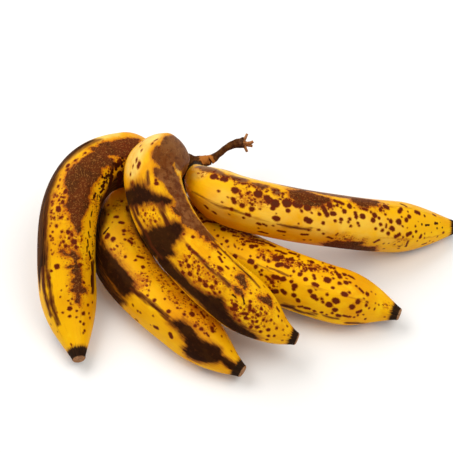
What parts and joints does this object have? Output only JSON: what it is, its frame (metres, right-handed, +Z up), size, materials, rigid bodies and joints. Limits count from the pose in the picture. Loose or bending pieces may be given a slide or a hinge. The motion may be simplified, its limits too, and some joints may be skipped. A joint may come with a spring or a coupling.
{
  "type": "bunch of bananas",
  "caption": "Overripe bananas still joined at their dried crown, fanned out and lying on their bellies, with the bare neck of a torn-off banana",
  "frame": {"origin": "centre of the bounding box's base, on the surface that the bananas lie on", "axes": "+Z up; +X runs right along the bunch's longest side; -Y faces the viewer of the picture, and the crown is on the +Y side"},
  "size_m": [0.2932, 0.1832, 0.0907],
  "materials": {
    "peel": "satin",
    "dried_stem": "matte"
  },
  "bodies": {
    "root": {"banana_left": "peel", "banana_front_left": "peel", "banana_top": "peel", "banana_front_right": "peel", "banana_right": "peel", "crown": "dried_stem", "torn_neck": "dried_stem"}
  },
  "joints": []
}
